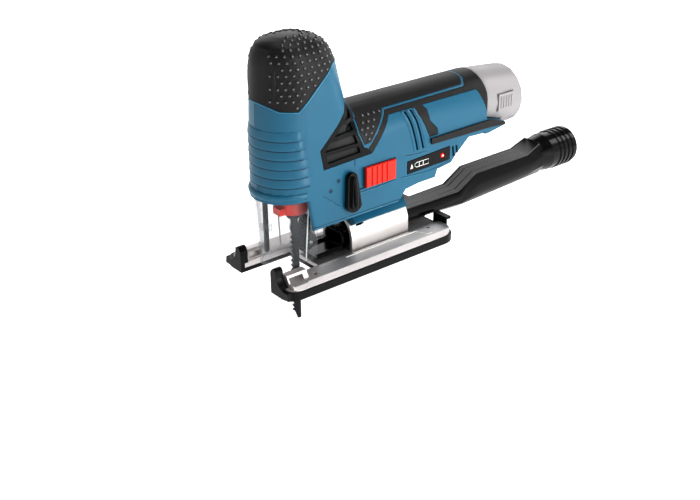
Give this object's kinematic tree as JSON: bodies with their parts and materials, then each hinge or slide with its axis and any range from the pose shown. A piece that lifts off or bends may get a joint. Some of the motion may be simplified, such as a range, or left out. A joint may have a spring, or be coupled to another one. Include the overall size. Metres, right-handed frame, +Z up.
{
  "type": "cordless jigsaw",
  "caption": "Cordless jigsaw: tall dotted front grip, barrel body, bevelling base plate, reciprocating blade with orbital roller, clear guard, dust tube.",
  "frame": {"origin": "middle of the underside of the sole, under the bevel axis", "axes": "+X cutting direction (towards the grip tower), +Y the left side of the tool, +Z up"},
  "size_m": [0.3475, 0.088, 0.2318],
  "materials": {
    "blue_plastic": "satin moulded plastic",
    "black_rubber": "dotted soft grip skin",
    "black_plastic": "satin black moulding",
    "gloss_black": "polished black moulding",
    "red_plastic": "satin red moulding",
    "cast_metal": "bead-blasted casting with bright machined edges",
    "steel": "ground steel",
    "dark_steel": "blackened steel",
    "brass": "sintered bearing brass",
    "copper": "lacquered copper winding",
    "magnet": "sintered magnet",
    "cell": "battery cell can",
    "grey_plastic": "pale grey moulding",
    "circuit_board": "coated circuit board",
    "clear_plastic": "clear polycarbonate"
  },
  "bodies": {
    "base": {"base_plate": "cast_metal", "glide_shoe": "black_plastic"},
    "tool": {"housing_left": "blue_plastic", "housing_right": "blue_plastic", "case_screw_1": "dark_steel", "case_screw_2": "dark_steel", "case_screw_3": "dark_steel", "case_screw_4": "dark_steel", "grip_cap": "black_rubber", "barrel_grip": "black_rubber", "barrel_trim": "black_rubber", "vent_grille_left": "black_plastic", "vent_grille_right": "black_plastic", "side_rail_left": "black_rubber", "side_rail_right": "black_rubber", "display_panel": "gloss_black", "status_led": "red_plastic", "motor_can": "steel", "front_bearing": "steel", "field_magnet": "magnet", "carbon_brush_left": "dark_steel", "carbon_brush_right": "dark_steel", "motor_end_bell": "black_plastic", "rear_bearing": "steel", "gear_axle": "steel", "gearbox_frame": "cast_metal", "gearbox_screw": "steel", "lower_bushing": "brass", "upper_bushing": "brass", "fork_pin": "steel", "contact_rod": "dark_steel", "tilt_saddle": "blue_plastic", "tilt_clamp_plate": "steel", "tilt_clamp_screw": "dark_steel", "switch_module": "black_plastic", "control_board": "circuit_board", "battery_terminal_block": "black_plastic"},
    "rotor": {"rotor_shaft": "steel", "armature": "copper", "commutator": "copper", "cooling_fan": "black_plastic", "pinion": "steel"},
    "gear": {"drive_gear": "steel"},
    "plunger": {"plunger": "steel", "blade_clamp": "dark_steel", "saw_blade": "steel"},
    "ring": {"release_ring": "red_plastic"},
    "lever": {"orbital_lever": "black_plastic"},
    "fork": {"roller_fork": "dark_steel", "roller_pin": "steel"},
    "roller": {"guide_roller": "dark_steel"},
    "slider": {"switch_slider": "red_plastic"},
    "battery": {"battery_case": "grey_plastic", "battery_cell_1": "cell", "battery_cell_2": "cell", "battery_cell_3": "cell"},
    "button_left": {"battery_button_left": "grey_plastic"},
    "button_right": {"battery_button_right": "grey_plastic"},
    "guard": {"chip_guard": "clear_plastic"},
    "tube": {"dust_tube": "gloss_black"}
  },
  "joints": [
    {"name": "bevel_tilt", "type": "hinge", "parent": "base", "child": "tool", "pos_m": [0, 0, 0.018], "axis": [1, 0, 0], "range_deg": [-45, 45]},
    {"name": "rotor_spin", "type": "hinge", "parent": "tool", "child": "rotor", "pos_m": [0, 0, 0.1005], "axis": [1, 0, 0], "continuous": true},
    {"name": "gear_spin", "type": "hinge", "parent": "tool", "child": "gear", "pos_m": [0.025, 0, 0.1249], "axis": [1, 0, 0], "continuous": true},
    {"name": "plunger_stroke", "type": "slide", "parent": "tool", "child": "plunger", "axis": [0, 0, 1], "range_m": [-0.009, 0.009]},
    {"name": "release_ring_turn", "type": "hinge", "parent": "plunger", "child": "ring", "pos_m": [0.0454, 0, 0.055], "axis": [0, 0, 1], "range_deg": [0, 70], "stiffness_Nm_per_rad": 0.02, "springref_deg": -17.19},
    {"name": "orbital_lever_turn", "type": "hinge", "parent": "tool", "child": "lever", "pos_m": [0.01, 0.03, 0.056], "axis": [0, 1, 0], "range_deg": [0, 60]},
    {"name": "fork_swing", "type": "hinge", "parent": "tool", "child": "fork", "pos_m": [0.031, 0, 0.037], "axis": [0, 1, 0], "range_deg": [0, 3], "stiffness_Nm_per_rad": 0.5, "springref_deg": -2.86},
    {"name": "roller_spin", "type": "hinge", "parent": "fork", "child": "roller", "pos_m": [0.0343, 0, 0.0216], "axis": [0, 1, 0], "continuous": true},
    {"name": "switch_slide", "type": "slide", "parent": "tool", "child": "slider", "axis": [1, 0, 0], "range_m": [0, 0.006]},
    {"name": "battery_slide", "type": "slide", "parent": "tool", "child": "battery", "axis": [-1, 0, 0], "range_m": [0, 0.105]},
    {"name": "left_button_press", "type": "slide", "parent": "battery", "child": "button_left", "axis": [0, -1, 0], "range_m": [0, 0.0018], "stiffness_N_per_m": 400, "springref_m": -0.002},
    {"name": "right_button_press", "type": "slide", "parent": "battery", "child": "button_right", "axis": [0, 1, 0], "range_m": [0, 0.0018], "stiffness_N_per_m": 400, "springref_m": -0.002},
    {"name": "chip_guard_slide", "type": "slide", "parent": "tool", "child": "guard", "axis": [1, 0, 0], "range_m": [0, 0.007]},
    {"name": "dust_tube_slide", "type": "slide", "parent": "base", "child": "tube", "axis": [-1, 0, 0], "range_m": [0, 0.1]}
  ],
  "couplings": [
    {"joint": "rotor_spin", "follows": "gear_spin", "ratio": -4.5455}
  ]
}
